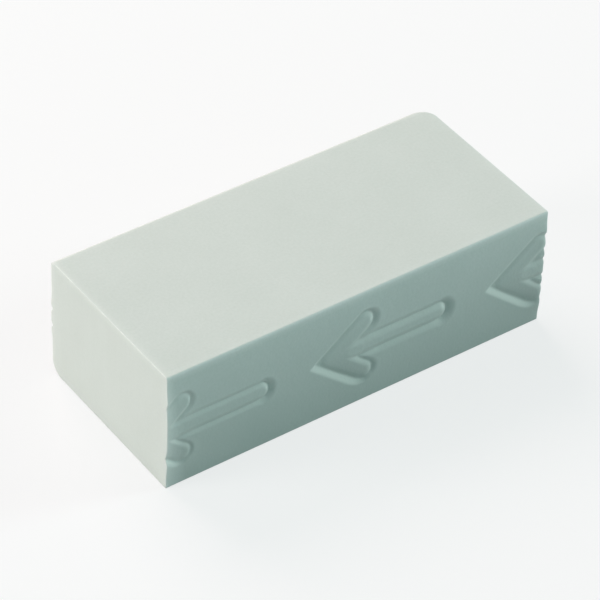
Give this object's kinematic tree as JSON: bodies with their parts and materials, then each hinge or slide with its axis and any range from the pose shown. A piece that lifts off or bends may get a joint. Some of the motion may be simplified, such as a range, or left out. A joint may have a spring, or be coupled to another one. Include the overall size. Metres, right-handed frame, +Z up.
{
  "type": "rubber eraser",
  "caption": "Small white vinyl block for rubbing out pencil, cut square at its ends, with a row of arrows pressed into each long side.",
  "frame": {"origin": "middle of the base that the block stands on", "axes": "+X along the block, away from the points of the arrows; +Y from the front side to the back side; +Z up from the base"},
  "size_m": [0.04, 0.0182, 0.0125],
  "materials": {
    "vinyl": "smooth matte white vinyl, faintly green, with soft edges"
  },
  "bodies": {
    "root": {"eraser_block": "vinyl"}
  },
  "joints": []
}
